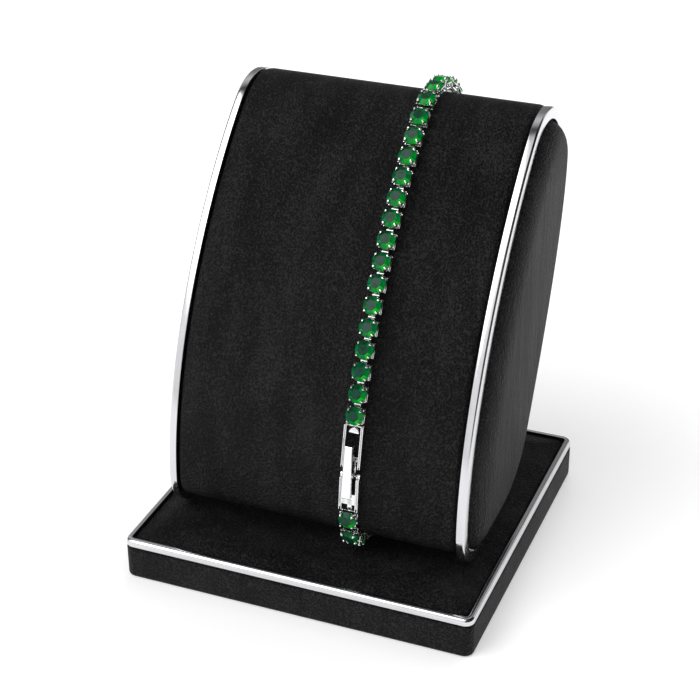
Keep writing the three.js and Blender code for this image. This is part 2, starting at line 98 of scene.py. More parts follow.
def leatherette(name, creases, crease_stretch, tone):
    """Black grained leatherette: fine pebbled grain, soft creases and a faint change of gloss."""
    grain_size = 0.32 * mm
    fines_per_grain = 2.6
    crease_size = 5 * mm
    patches_per_metre = 55.0
    pore_depth = 0.24 * mm
    # Shares of the tone for the grain's pits (painted shade) and for its raised points (painted
    # sheen).
    pit_shade = 0.15
    painted_sheen_gain = 4.2
    contrast = 0.27
    material, start, shader = new_material(name, {"Specular IOR Level": 0.11})
    place = start.node("ShaderNodeTexCoord", output="Object")
    grain = start.node(
        "ShaderNodeTexVoronoi",
        {"feature": "SMOOTH_F1"},
        {"Vector": place, "Scale": 1 / grain_size, "Smoothness": 0.6, "Randomness": 1.0},
    )
    fine = start.node(
        "ShaderNodeTexNoise",
        None,
        {"Vector": place, "Scale": fines_per_grain / grain_size, "Detail": 2.0},
    )
    stretched = start.node("ShaderNodeMapping", None, {"Vector": place, "Scale": crease_stretch})
    crease = start.node(
        "ShaderNodeTexNoise",
        None,
        {"Vector": stretched, "Scale": 1 / crease_size, "Detail": 4.0, "Roughness": 0.55},
    )
    broad = start.node(
        "ShaderNodeTexNoise", None, {"Vector": place, "Scale": patches_per_metre, "Detail": 2.0}
    )
    height = grain + fine * 0.5 + crease * creases
    bump = start.node(
        "ShaderNodeBump", None, {"Height": height, "Distance": pore_depth, "Strength": 1.0}
    )
    feed(shader, "Normal", bump)
    feed(shader, "Roughness", 0.36 + broad * 0.14 + fine * 0.12)
    # The colour follows the bump: darker in the pits of the grain and in the creases (painted shade),
    # lighter on the raised grain (painted sheen), with broad patches of random tone.
    tone_and_painted_light = grain * 0.9 + fine * 1.7 + crease * 0.8 + broad * 0.2
    pit = (*[pit_shade * c for c in tone], 1)
    raised_painted_sheen = (*[painted_sheen_gain * c for c in tone], 1)
    color = start.node(
        "ShaderNodeValToRGB",
        {"stops": [(0.43, pit), (0.485, (*tone, 1)), (0.55, raised_painted_sheen)]},
        {"Fac": tone_and_painted_light * contrast},
    )
    feed(shader, "Base Color", color)
    return material


def begin(piece_name):
    """Names the primitive that was just added, which is the active object, and places it."""
    piece = bpy.context.object
    piece.name = piece.data.name = piece_name
    bpy.ops.object.transform_apply()
    return piece


def clear_selection():
    bpy.ops.object.select_all(action="DESELECT")


def pick(piece, kind, test):
    """In edit mode, selects only the vertices, edges or faces that pass a test."""
    bpy.ops.mesh.select_mode(type=kind)
    bpy.ops.mesh.select_all(action="DESELECT")
    mesh = bmesh.from_edit_mesh(piece.data)
    for part in {"VERT": mesh.verts, "EDGE": mesh.edges, "FACE": mesh.faces}[kind]:
        if test(part):
            part.select_set(True)
    mesh.select_flush_mode()
    bmesh.update_edit_mesh(piece.data)


def modify(piece, kind, **settings):
    """Adds one modifier to the piece and applies it."""
    bpy.context.view_layer.objects.active = piece
    made = piece.modifiers.new(kind.title(), kind)
    for name, value in settings.items():
        setattr(made, name, value)
    bpy.ops.object.modifier_apply(modifier=made.name)


def finish_piece(piece, material, body, slot, *nodes, smooth=35):
    """Gives a piece its finish and its place in the assembly."""
    piece.data.materials.clear()
    piece.data.materials.append(material)
    clear_selection()
    piece.select_set(True)
    bpy.context.view_layer.objects.active = piece
    bpy.ops.object.shade_smooth_by_angle(angle=math.radians(smooth))
    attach(piece, body)
    if nodes:
        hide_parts(*nodes)


def upright(edge):
    """Tells the edges that stand up rather than lie down."""
    low, high = sorted(vertex.co.z for vertex in edge.verts)
    return high - low > 0.5 * abs((edge.verts[0].co - edge.verts[1].co).length)


def rounded_block(name, width, depth, bottom, top, corner, segments):
    """A cube shaped to the size of a flat box, its four upright corners rounded."""
    clear_selection()
    bpy.ops.mesh.primitive_cube_add(
        size=1, location=(0, 0, (bottom + top) / 2), scale=(width, depth, top - bottom)
    )
    piece = begin(name)
    bpy.ops.object.mode_set(mode="EDIT")
    pick(piece, "EDGE", upright)
    bpy.ops.mesh.bevel(offset=corner, segments=segments, affect="EDGES")
    return piece


def rim(height):
    """Tells the edges that lie level at a height."""
    hair = 0.001 * mm
    return lambda edge: all(abs(vertex.co.z - height) < hair for vertex in edge.verts)


base_width = 60 * mm
base_depth = 57 * mm
base_corner = 1.6 * mm
box_top = 5.7 * mm
lower_edge = 0.5 * mm
upper_edge = 0.35 * mm
leather_tone = (0.0046, 0.0046, 0.0048)
base_box = rounded_block("base_box_cover", base_width, base_depth, 0, box_top, base_corner, 8)
pick(base_box, "EDGE", rim(0))
bpy.ops.mesh.bevel(offset=lower_edge, segments=4, affect="EDGES")
pick(base_box, "EDGE", rim(box_top))
bpy.ops.mesh.bevel(offset=upper_edge, segments=3, affect="EDGES")
bpy.ops.object.mode_set(mode="OBJECT")
box_leather = leatherette("leatherette_box", 0.8, (1.0, 1.0, 0.35), leather_tone)
finish_piece(base_box, box_leather, "stand", "leatherette", "base_box")


# Base trim: a strip of plated metal bent round the top of the box, half round along its outer
# upper edge and standing just above the rim of the pad. Polished, with faint wiping marks.
def polished_metal(name, tone, roughness, mark_size):
    """Bright plating with soft marks in its gloss and the slight waviness of a drawn strip."""
    waves_per_mark = 0.25
    wave_depth = 0.003 * mm
    mark_shade = 0.93
    material, start, shader = new_material(name, {"Metallic": 1.0, "IOR": 2.5})
    place = start.node("ShaderNodeTexCoord", output="Object")
    marks = start.node(
        "ShaderNodeTexNoise", None, {"Vector": place, "Scale": 1 / mark_size, "Detail": 3.0}
    )
    wave = start.node(
        "ShaderNodeTexNoise",
        None,
        {"Vector": place, "Scale": waves_per_mark / mark_size, "Detail": 1.0},
    )
    feed(shader, "Roughness", roughness * 0.6 + marks * roughness)
    # Inputs 6 and 7 and output 2 of a Mix node are its two colours and its colour result.
    color = start.node(
        "ShaderNodeMix",
        {"data_type": "RGBA"},
        {"Factor": marks, 6: (*[c * mark_shade for c in tone], 1), 7: (*tone, 1)},
        output=2,
    )
    feed(shader, "Base Color", color)
    bump = start.node(
        "ShaderNodeBump", None, {"Height": wave, "Distance": wave_depth, "Strength": 0.5}
    )
    feed(shader, "Normal", bump)
    return material


clearance = 0.3 * mm
trim_bottom = box_top + clearance
trim_top = trim_bottom + 1.2 * mm
trim_wall = 1.0 * mm
trim_round = 0.65 * mm
trim_edge = 0.08 * mm
sharp_angle = 1.0
plating = polished_metal("polished_strip", (0.72, 0.72, 0.74), 0.15, 2.5 * mm)
trim = rounded_block(
    "base_trim_strip", base_width, base_depth, trim_bottom, trim_top, base_corner, 10
)
pick(trim, "FACE", lambda face: abs(face.normal.z) > 0.9)
bpy.ops.mesh.delete(type="FACE")
bpy.ops.object.mode_set(mode="OBJECT")
modify(trim, "SOLIDIFY", thickness=trim_wall, offset=-1, use_even_offset=True)


def outer_rim(edge):
    """Tells the strip's outer upper edges, which lie at the box's sides or in its corners."""
    reach = min(max(abs(v.co.x) - base_width / 2, abs(v.co.y) - base_depth / 2) for v in edge.verts)
    outside = reach > -0.6 * base_corner
    return outside and rim(trim_top)(edge) and edge.calc_face_angle(0) > sharp_angle


bpy.ops.object.mode_set(mode="EDIT")
pick(trim, "EDGE", outer_rim)
bpy.ops.mesh.bevel(offset=trim_round, segments=6, affect="EDGES")
bpy.ops.object.mode_set(mode="OBJECT")
modify(
    trim, "BEVEL", width=trim_edge, segments=2, limit_method="ANGLE", angle_limit=math.radians(60)
)
finish_piece(trim, plating, "stand", "trim", "base_trim")


# Base pad: a board with thin foam under leatherette, pressed into the frame of the strip. Its
# cover rolls over the edge all round and its top is slightly crowned.
pad_gap = 0.4 * mm
pad_top = trim_bottom + 1.5 * mm
pad_shrink = 2 * (trim_wall + pad_gap)
pad_width = base_width - pad_shrink
pad_rim = pad_top - 0.55 * mm
pad_corner = 1.2 * mm
pad_edge = 0.3 * mm
pad = rounded_block(
    "base_pad_cover", pad_width, base_depth - pad_shrink, trim_bottom, pad_rim, pad_corner, 6
)
pick(pad, "EDGE", rim(pad_rim))
bpy.ops.mesh.bevel(offset=pad_edge, segments=3, affect="EDGES")
pick(pad, "FACE", lambda face: face.normal.z > 0.99 and face.calc_area() > 100 * mm * mm)
roll_run = 4.4 * mm
roll_rise = 0.75 * mm
roll_fullness = 2.4
roll_steps = 8
for i in range(roll_steps):
    start, end = i / roll_steps, (i + 1) / roll_steps
    share = (pad_width / 2 - end * roll_run) / (pad_width / 2 - start * roll_run)
    rise = roll_rise * ((1 - start) ** roll_fullness - (1 - end) ** roll_fullness)
    bpy.ops.mesh.extrude_region_move()
    bpy.ops.transform.resize(value=(share, share, 1), center_override=(0, 0, pad_top))
    bpy.ops.transform.translate(value=(0, 0, rise))
bpy.ops.object.mode_set(mode="OBJECT")
pad_leather = leatherette("leatherette_pad", 1.5, (0.6, 1.0, 1.0), leather_tone)
finish_piece(pad, pad_leather, "stand", "leatherette_pad", "base_pad")


# Block: a shaped wooden core wrapped in one sheet of leatherette. From the side it is a leaning
# leaf, flat underneath, round at the toe and at the crest. It leaves room under it for a bracelet.
def arc(centre_y, centre_z, radius, start, end, steps):
    """Points of an arc between two angles in degrees."""
    turn = [math.radians(start + (end - start) * i / steps) for i in range(steps + 1)]
    return [(centre_y + radius * math.cos(t), centre_z + radius * math.sin(t)) for t in turn]


def bezier(points, steps):
    """Points of a Bezier curve of any order, by repeated halving of its control polygon."""
    curve = []
    for i in range(steps + 1):
        left = list(points)
        t = i / steps
        while len(left) > 1:
            left = [
                (a[0] + (b[0] - a[0]) * t, a[1] + (b[1] - a[1]) * t) for a, b in zip(left, left[1:])
            ]
        curve.append(left[0])
    return curve


block_width = 51 * mm
block_front = 8.8 * mm - base_depth / 2
block_back = block_front + 47.3 * mm
block_height = 65 * mm
toe_radius = 7 * mm
crest_radius = 10.3 * mm
crest_start = 128
front_rise = 22 * mm
crest_run = 17 * mm
back_drop = 14 * mm
heel_run = 14 * mm
heel_height = 9.8 * mm
heel_setback = 30.2 * mm
heel_slope = math.radians(60)
ring_underside = pad_top + clearance


def block_outline(underside, steps):
    """The block seen from its right side, from the toe up the front, as points of Y and Z."""
    toe = toe_radius - (underside - ring_underside)
    toe_top = ring_underside + toe_radius
    crest_y = block_back - crest_radius
    crest_z = ring_underside + block_height - crest_radius
    start = math.radians(crest_start)
    crest = (crest_y + crest_radius * math.cos(start), crest_z + crest_radius * math.sin(start))
    heel_top = (block_front + heel_setback, ring_underside + heel_height)
    drop = heel_top[1] - underside
    corner = heel_top[0] - drop / math.tan(heel_slope)
    points = arc(block_front + toe, toe_top, toe, 270, 180, steps)
    points += bezier(
        [
            (block_front, toe_top),
            (block_front, toe_top + front_rise),
            (crest[0] - crest_run * math.sin(start), crest[1] + crest_run * math.cos(start)),
            crest,
        ],
        3 * steps,
    )
    points += arc(crest_y, crest_z, crest_radius, crest_start, 0, 2 * steps)
    points += bezier(
        [
            (block_back, crest_z),
            (block_back, crest_z - back_drop),
            (
                heel_top[0] + heel_run * math.cos(heel_slope),
                heel_top[1] + heel_run * math.sin(heel_slope),
            ),
            heel_top,
        ],
        3 * steps,
    )
    heel_foot = (corner - drop / math.sin(heel_slope), underside)
    points += bezier([heel_top, (corner, underside), heel_foot], steps)
    far_apart = 0.01 * mm
    return [p for p, q in zip(points, points[1:] + points[:1]) if math.dist(p, q) > far_apart]


def inset_outline(points, distance):
    """The outline moved inwards, or outwards where the distance is negative."""
    moved = []
    for before, point, after in zip(points[-1:] + points[:-1], points, points[1:] + points[:1]):
        along = Vector((after[0] - before[0], after[1] - before[1])).normalized()
        moved.append((point[0] + along.y * distance, point[1] - along.x * distance))
    return moved


def outline_rows(name, outline, rows):
    """A body along X through rows of X and inset: a ring of points extruded from row to row."""
    clear_selection()
    bpy.ops.mesh.primitive_circle_add(vertices=len(outline), radius=block_height, fill_type="NOTHING")
    piece = begin(name)
    first = [Vector((rows[0][0], y, z)) for y, z in inset_outline(outline, rows[0][1])]
    for vertex, point in zip(piece.data.vertices, first):
        vertex.co = point
    ring = dict((tuple(round(c, 9) for c in point), i) for i, point in enumerate(first))
    for x, distance in rows[1:]:
        bpy.ops.object.mode_set(mode="EDIT")
        if (x, distance) == rows[1]:
            bpy.ops.mesh.select_mode(type="EDGE")
            bpy.ops.mesh.select_all(action="SELECT")
        bpy.ops.mesh.extrude_region_move()
        bpy.ops.object.mode_set(mode="OBJECT")
        points = [Vector((x, y, z)) for y, z in inset_outline(outline, distance)]
        for vertex in piece.data.vertices:
            if vertex.select:
                vertex.co = points[ring[tuple(round(c, 9) for c in vertex.co)]]
        ring = dict((tuple(round(c, 9) for c in Vector(p)), i) for i, p in enumerate(points))
    return piece


def lies_at(edge, place):
    """Tells whether an edge lies at a place along X."""
    hair = 0.0001 * mm
    return all(abs(vertex.co.x - place) < hair for vertex in edge.verts)


def close_ends(piece, *places):
    """Fills the open rings of a body that lie at the given places along X."""
    bpy.ops.object.mode_set(mode="EDIT")
    for place in places:
        pick(piece, "EDGE", lambda edge: edge.is_boundary and lies_at(edge, place))
        bpy.ops.mesh.edge_face_add()
    bpy.ops.mesh.select_all(action="SELECT")
    bpy.ops.mesh.normals_make_consistent(inside=False)
    bpy.ops.object.mode_set(mode="OBJECT")


def quarter_round(radius, steps):
    """How far in and how far from the end the points of a rounded edge lie."""
    turns = [math.pi / 2 * i / steps for i in range(steps + 1)]
    return [(radius * (1 - math.cos(t)), radius * (1 - math.sin(t))) for t in turns]


link_height = 2.15 * mm
link_pitch = 3.4 * mm
link_sag = link_pitch**2 / (8 * (toe_radius - link_height - clearance))
ride_height = clearance + link_sag
body_underside = ring_underside + ride_height + link_height
ring_outer = block_width / 2
ring_inner = ring_outer - 1.35 * mm
body_end = ring_inner - clearance
body_edge = quarter_round(0.9 * mm, 4)
outline_steps = 20
body_rows = [(-body_end + rise, inward) for rise, inward in body_edge]
body_rows += [(body_end - rise, inward) for rise, inward in reversed(body_edge)]
body = outline_rows("block_cover", block_outline(body_underside, outline_steps), body_rows)
close_ends(body, -body_end, body_end)
body_leather = leatherette("leatherette_block", 1.3, (1.0, 0.35, 0.35), leather_tone)
finish_piece(body, body_leather, "stand", "leatherette_body", "block_body")


# Rings: flat bands of plated metal bent to the side view of the block, one at each end, polished
# on the rim and on the face. They stand on the pad and carry the block.
ring_wall = 1.9 * mm
ring_round = 0.42 * mm
ring_edge = 0.1 * mm


def ring_corner(place, centre):
    """Tells the sharp outer edges of a ring at a place along X."""

    def passes(edge):
        facing = edge.link_faces[0].normal + edge.link_faces[1].normal
        reach = edge.verts[0].co - centre
        outward = facing.y * reach.y + facing.z * reach.z > 0
        return outward and edge.calc_face_angle(0) > sharp_angle and lies_at(edge, place)

    return passes


for side, name in ((-1, "ring_left"), (1, "ring_right")):
    rows = [(side * ring_inner, 0), (side * ring_outer, 0)]
    band = outline_rows(name + "_band", block_outline(ring_underside, outline_steps), rows)
    close_ends(band)
    modify(band, "SOLIDIFY", thickness=ring_wall, offset=-1, use_even_offset=True)
    centre = sum((vertex.co for vertex in band.data.vertices), Vector()) / len(band.data.vertices)
    bpy.ops.object.mode_set(mode="EDIT")
    for place, width in ((side * ring_outer, ring_round), (side * ring_inner, ring_edge)):
        pick(band, "EDGE", ring_corner(place, centre))
        bpy.ops.mesh.bevel(offset=width, segments=4, affect="EDGES")
    bpy.ops.object.mode_set(mode="OBJECT")
    finish_piece(band, plating, "stand", "trim", name)


# End panels: foam on a shaped board, covered in leatherette and pressed into the rings. The
# cover is drawn tight over a full, rounded edge, with fine creases that run up the panel.
panel_edge = ring_wall + clearance
panel_shoulder = ring_outer - 0.9 * mm
panel_dome = 2.7 * mm
panel_run = 4.2 * mm
panel_fullness = 2.5 * mm
panel_steps = 8
panel_leather = leatherette("leatherette_panel", 2.6, (1.0, 1.6, 0.28), leather_tone)
for side, name in ((-1, "end_panel_left"), (1, "end_panel_right")):
    rows = [(side * ring_inner, panel_edge), (side * panel_shoulder, panel_edge)]
    for i in range(1, panel_steps + 1):
        turn = math.pi / 2 * i / panel_steps
        reach = panel_shoulder + panel_dome * math.sin(turn)
        rows.append((side * reach, panel_edge + panel_run * (1 - math.cos(turn))))
    panel = outline_rows(name + "_cover", block_outline(ring_underside, outline_steps), rows)
    close_ends(panel, rows[0][0], rows[-1][0])
    for vertex in panel.data.vertices:
        rise = max(0, abs(vertex.co.x) - panel_shoulder) / panel_dome
        vertex.co.y += panel_fullness * (1 - math.sqrt(max(0, 1 - rise * rise)))
    finish_piece(panel, panel_leather, "stand", "leatherette_pad", name)


# Links: each stone is a round brilliant held by four wires that are bent over its edge. Two square
# wire galleries tie the wires together, and a knuckle under the edge hinges the next link on.
def box_piece(x0, x1, y0, y1, z0, z1, edge=0.05 * mm):
    """A bar of metal between two corners, its edges eased."""
    clear_selection()
    middle = ((x0 + x1) / 2, (y0 + y1) / 2, (z0 + z1) / 2)
    bpy.ops.mesh.primitive_cube_add(size=1, location=middle, scale=(x1 - x0, y1 - y0, z1 - z0))
    bar = begin("bar")
    bpy.ops.object.mode_set(mode="EDIT")
    bpy.ops.mesh.select_all(action="SELECT")
    bpy.ops.mesh.bevel(offset=edge, segments=1, affect="EDGES")
    bpy.ops.object.mode_set(mode="OBJECT")
    return bar


def barrel_piece(x0, x1, y, z, radius, sides=12):
    """A cylinder along X between two places."""
    clear_selection()
    bpy.ops.mesh.primitive_cylinder_add(
        vertices=sides,
        radius=radius,
        depth=x1 - x0,
        location=((x0 + x1) / 2, y, z),
        rotation=(0, math.pi / 2, 0),
    )
    return begin("barrel")


def joined(name, pieces):
    """Joins pieces into one, under a new name."""
    clear_selection()
    for piece in pieces:
        piece.select_set(True)
    bpy.context.view_layer.objects.active = pieces[0]
    bpy.ops.object.join()
    whole = bpy.context.object
    whole.name = whole.data.name = name
    return whole


def post(sides, rows):
    """A wire through rows of centre and radius, closed at both ends."""
    clear_selection()
    centre, radius = rows[0]
    bpy.ops.mesh.primitive_circle_add(vertices=sides, radius=radius, location=centre, fill_type="NGON")
    made = begin("post")
    bpy.ops.object.mode_set(mode="EDIT")
    bpy.ops.mesh.select_mode(type="FACE")
    bpy.ops.mesh.select_all(action="SELECT")
    for (before, wide), (after, narrow) in zip(rows, rows[1:]):
        bpy.ops.mesh.extrude_region_move()
        bpy.ops.transform.resize(value=(narrow / wide,) * 3, center_override=before)
        bpy.ops.transform.translate(value=Vector(after) - Vector(before))
    bpy.ops.mesh.select_all(action="SELECT")
    bpy.ops.mesh.normals_make_consistent(inside=False)
    bpy.ops.object.mode_set(mode="OBJECT")
    return made


def cut_facets(count, first_turn, tilt, centre, distance):
    """Cuts a ring of facets. The tilt is measured from straight up, in degrees."""
    lean = math.radians(tilt)
    for i in range(count):
        turn = math.radians(first_turn + 360 * i / count)
        facing = Vector(
            (math.cos(turn) * math.sin(lean), math.sin(turn) * math.sin(lean), math.cos(lean))
        )
        cut = Vector(centre) + facing * distance
        bpy.ops.mesh.select_all(action="SELECT")
        bpy.ops.mesh.bisect(plane_co=cut, plane_no=facing, use_fill=True, clear_outer=True)


stone_radius = 1.5 * mm
girdle_height = 1.38 * mm
girdle_half = 0.03 * mm
crown_height = 0.62 * mm
pavilion_depth = 1.3 * mm
crown_angle = 40
star_angle = 25
upper_angle = 46
corner_radius = stone_radius - crown_height / math.tan(math.radians(crown_angle))
clear_selection()
bpy.ops.mesh.primitive_cylinder_add(
    vertices=16,
    radius=stone_radius,
    depth=crown_height + pavilion_depth,
    location=(0, 0, girdle_height + (crown_height - pavilion_depth) / 2),
)
stone_pattern = begin("stone_pattern")
bpy.ops.object.mode_set(mode="EDIT")
crown_base = (0, 0, girdle_height + girdle_half)
bezel_distance = stone_radius * math.sin(math.radians(crown_angle))
cut_facets(8, 0, crown_angle, crown_base, bezel_distance)
side_radius = stone_radius * math.cos(math.pi / 16)
cut_facets(16, 11.25, upper_angle, crown_base, side_radius * math.sin(math.radians(upper_angle)))
star_run = corner_radius * math.cos(math.pi / 8)
star_lean = math.radians(star_angle)
star_distance = star_run * math.sin(star_lean) + (crown_height - girdle_half) * math.cos(star_lean)
cut_facets(8, 22.5, star_angle, crown_base, star_distance)
pavilion_angle = 180 - math.degrees(math.atan2(pavilion_depth - girdle_half, stone_radius))
pavilion_distance = stone_radius * math.sin(math.radians(pavilion_angle))
cut_facets(8, 0, pavilion_angle, (0, 0, girdle_height - girdle_half), pavilion_distance)
bpy.ops.object.mode_set(mode="OBJECT")
# Each facet gets a painted light value: facets turned to +X and -Y are painted brighter, standing in
# for reflections inside the stone, a painted glint flickers a little from facet to facet, and the
# table is painted darkest.
facet_tone = stone_pattern.data.attributes.new("facet_tone", "FLOAT", "FACE")
painted_light_right = 0.6
painted_light_front = 0.8
painted_glint_step = 0.09
darkest_painted_facet = 0.15
for face in stone_pattern.data.polygons:
    painted_light_side = painted_light_right * face.normal.x - painted_light_front * face.normal.y
    facet_painted_glint = (face.index * 7 % 5 - 2) * painted_glint_step
    is_table = face.normal.z > 0.99
    value = 0.0 if is_table else min(1, max(darkest_painted_facet, 0.5 + 0.5 * painted_light_side + facet_painted_glint))
    facet_tone.data[face.index].value = value

prong_place = 1.03 * mm
prong_radius = 0.15 * mm
link_parts = []
for x_side in (-1, 1):
    for y_side in (-1, 1):
        rows = [
            ((x_side * (prong_place - inward), y_side * (prong_place - inward), height), radius)
            for inward, height, radius in (
                (0.02 * mm, 0.02 * mm, prong_radius),
                (-0.03 * mm, 1.36 * mm, prong_radius),
                (-0.02 * mm, 1.56 * mm, 0.22 * mm),
                (0.03 * mm, 1.78 * mm, 0.26 * mm),
                (0.07 * mm, 1.98 * mm, 0.21 * mm),
                (0.09 * mm, 2.10 * mm, 0.09 * mm),
            )
        ]
        link_parts.append(post(8, rows))
gallery_reach = 1.18 * mm
for low, high, side_reach in ((0.1 * mm, 0.36 * mm, 1.34 * mm), (0.95 * mm, 1.17 * mm, 1.40 * mm)):
    wire = high - low
    inner = side_reach - wire
    for side in (-1, 1):
        near, far = sorted((side * inner, side * side_reach))
        link_parts.append(box_piece(near, far, -gallery_reach, gallery_reach, low, high))
        near, far = sorted((side * (gallery_reach - wire), side * gallery_reach))
        link_parts.append(box_piece(-inner, inner, near, far, low, high))
link_pattern = joined("link_pattern", link_parts)

tab_height = 0.27 * mm
bracelet_offset = 6.8 * mm
clasp_top_height = 31.1 * mm
clasp_length = 13.9 * mm
path = inset_outline(block_outline(body_underside, 40), -(ride_height + tab_height))
lengths = [0]
for point, after in zip(path, path[1:] + path[:1]):
    lengths.append(lengths[-1] + math.dist(point, after))


def along(distance):
    """The point at a distance along the bracelet's path."""
    distance %= lengths[-1]
    i = max(k for k, length in enumerate(lengths[:-1]) if length <= distance)
    share = (distance - lengths[i]) / (lengths[i + 1] - lengths[i])
    here, after = path[i], path[(i + 1) % len(path)]
    return Vector((bracelet_offset, *(a + (b - a) * share for a, b in zip(here, after))))


def frame_between(start, end):
    """A frame on the path: Y runs along the bracelet and Z points out from the block."""
    a, b = along(start), along(end)
    forward = (b - a).normalized()
    out = Vector((1, 0, 0)).cross(forward)
    turn = Matrix((Vector((1, 0, 0)), forward, out)).transposed().to_4x4()
    return Matrix.Translation((a + b) / 2 - out * tab_height) @ turn


def placed_copies(name, pattern, places):
    """Copies a pattern to each place and joins the copies."""
    copies = []
    for place in places:
        twin = pattern.copy()
        twin.data = pattern.data.copy()
        twin.data.transform(place)
        bpy.context.scene.collection.objects.link(twin)
        copies.append(twin)
    return joined(name, copies)


above = next(i for i, point in enumerate(path) if point[0] < 0 and point[1] >= clasp_top_height)
climb = (clasp_top_height - path[above - 1][1]) / (path[above][1] - path[above - 1][1])
clasp_top = lengths[above - 1] + climb * (lengths[above] - lengths[above - 1])
link_count = round((lengths[-1] - clasp_length) / link_pitch)
pitch = (lengths[-1] - clasp_length) / link_count
crest = max(range(len(path)), key=lambda i: path[i][1])
front_count = round((lengths[crest] - clasp_top) / pitch)
tab_half = 0.4 * mm
tab_reach = pitch / 2 - prong_place
tab_low = 0.14 * mm
tab_high = 0.42 * mm
barrel_half = 0.55 * mm
barrel_height = tab_height + 0.1 * mm
barrel_radius = 0.27 * mm
knuckle = joined(
    "knuckle_pattern",
    [
        box_piece(-tab_half, tab_half, -tab_reach, tab_reach, tab_low, tab_high),
        barrel_piece(-barrel_half, barrel_half, 0, barrel_height, barrel_radius),
    ],
)

gem, gem_start, gem_shader = new_material(
    "green_stone", {"IOR": 1.5, "Roughness": 0.06, "Specular IOR Level": 0.16}
)
# The stone's green is painted from greyish dark at the table to bright green, by each facet's painted
# light and by small cells of painted reflection.
tone = gem_start.node("ShaderNodeAttribute", {"attribute_name": "facet_tone"}, output="Fac")
gem_place = gem_start.node("ShaderNodeTexCoord", output="Object")
cell_size = 0.6 * mm
painted_reflection_cells = gem_start.node(
    "ShaderNodeTexVoronoi", None, {"Vector": gem_place, "Scale": 1 / cell_size}, output="Color"
)
lit = tone * 0.74 + painted_reflection_cells * 0.26
gem_color = gem_start.node(
    "ShaderNodeValToRGB",
    {
        "stops": [
            (0.12, (0.009, 0.050, 0.032, 1)),
            (0.20, (0.001, 0.035, 0.010, 1)),
            (0.42, (0.001, 0.130, 0.040, 1)),
            (0.65, (0.001, 0.300, 0.020, 1)),
            (0.92, (0.001, 0.640, 0.015, 1)),
        ]
    },
    {"Fac": lit},
)
feed(gem_shader, "Base Color", gem_color)
silver = polished_metal("polished_silver", (0.88, 0.88, 0.89), 0.13, 1.2 * mm)

last_hinge = lengths[-1] + clasp_top - clasp_length - 1.5 * pitch
for name, first, end in (("front", 0, front_count), ("back", front_count, link_count)):
    starts = [clasp_top + i * pitch for i in range(first, end)]
    places = [frame_between(start, start + pitch) for start in starts]
    knuckle_places = [
        frame_between(start + pitch / 2, start + 1.5 * pitch)
        for start in starts
        if start < last_hinge
    ]
    stones = placed_copies("stones_" + name, stone_pattern, places)
    finish_piece(stones, gem, "stand", "stone", "chain_" + name, smooth=1)
    frames = placed_copies("links", link_pattern, places)
    knuckles = placed_copies("knuckles", knuckle, knuckle_places)
    settings = joined("settings_" + name, [frames, knuckles])
    finish_piece(settings, silver, "stand", "silver", "chain_" + name, smooth=40)
for pattern in (stone_pattern, link_pattern, knuckle):
    bpy.data.objects.remove(pattern)


# Clasp: two frames of square wire hinged together, the upper one closed by a half round catch.
# A polished cover folds down over both and turns on a pin near its lower end.
clasp_half = 1.6 * mm
rail_thick = 0.42 * mm
lower_thick = 0.5 * mm
rail_height = 1.2 * mm
bar_height = 0.5 * mm
bar_length = 0.7 * mm
top_bar = 0.25 * mm
upper_length = 8.2 * mm
prong_reach = 1.24 * mm
knuckle_width = 0.6 * mm
rivet_radius = 0.15 * mm
weld = 0.1 * mm
hinge_point = clasp_top - upper_length
clasp_bottom = clasp_top - clasp_length
rail_reach = pitch / 2 - prong_reach - clearance
link_reach = pitch / 2 - gallery_reach - clearance
knuckle_radius = 0.55 * mm
knuckle_half = clasp_half - knuckle_width - clearance
arm_thick = 0.3 * mm


def place_piece(piece, place):
    """Moves the mesh of a piece to its place in the frame."""
    piece.data.transform(place)


def rails(y0, y1, thick):
    """Two side rails, each a low bar with a thin rib along either edge."""
    rib = 0.12 * mm
    rib_edge = 0.03 * mm
    groove = 0.8 * mm
    bars = []
    for left, right in ((-clasp_half, thick - clasp_half), (clasp_half - thick, clasp_half)):
        bars.append(box_piece(left, right, y0, y1, 0, rail_height - groove))
        bars.append(box_piece(left, left + rib, y0, y1, weld, rail_height, rib_edge))
        bars.append(box_piece(right - rib, right, y0, y1, weld, rail_height, rib_edge))
    return bars


top = upper_length / 2
rail_end = 1.4 * mm - top
arm_bar = rail_end + 1.6 * mm
catch_radius = 0.85 * mm
catch_thick = 0.5 * mm
catch_edge = 0.08 * mm
catch_y = top - top_bar - catch_radius
clear_selection()
bpy.ops.mesh.primitive_cylinder_add(
    vertices=32, radius=catch_radius, depth=catch_thick, location=(0, catch_y, bar_height + weld)
)
catch = begin("catch")
bpy.ops.object.mode_set(mode="EDIT")
bpy.ops.mesh.select_all(action="SELECT")
bpy.ops.mesh.bisect(plane_co=(0, catch_y, 0), plane_no=(0, -1, 0), use_fill=True, clear_outer=True)
bpy.ops.object.mode_set(mode="OBJECT")
modify(
    catch, "BEVEL", width=catch_edge, segments=2, limit_method="ANGLE", angle_limit=math.radians(50)
)
upper_parts = rails(rail_end, top + rail_reach, rail_thick) + [catch]
cross_half = clasp_half - rail_thick + weld
low_bar = 0.25 * mm
for y0, y1 in ((top - top_bar, top), (arm_bar - bar_length, arm_bar)):
    upper_parts.append(box_piece(-cross_half, cross_half, y0, y1, 0, low_bar))
upper_parts.append(box_piece(-tab_half, tab_half, top - top_bar, top + link_reach, 0, low_bar))
for side in (-1, 1):
    near, far = sorted((side * (knuckle_half - arm_thick), side * knuckle_half))
    upper_parts.append(box_piece(near, far, -top, arm_bar - bar_length / 2, 0, bar_height))
upper_parts.append(barrel_piece(-knuckle_half, knuckle_half, -top, tab_height, knuckle_radius, 20))
upper_frame = joined("clasp_upper", upper_parts)
place_piece(upper_frame, frame_between(hinge_point, clasp_top))
finish_piece(upper_frame, silver, "stand", "silver", "clasp_upper_frame")

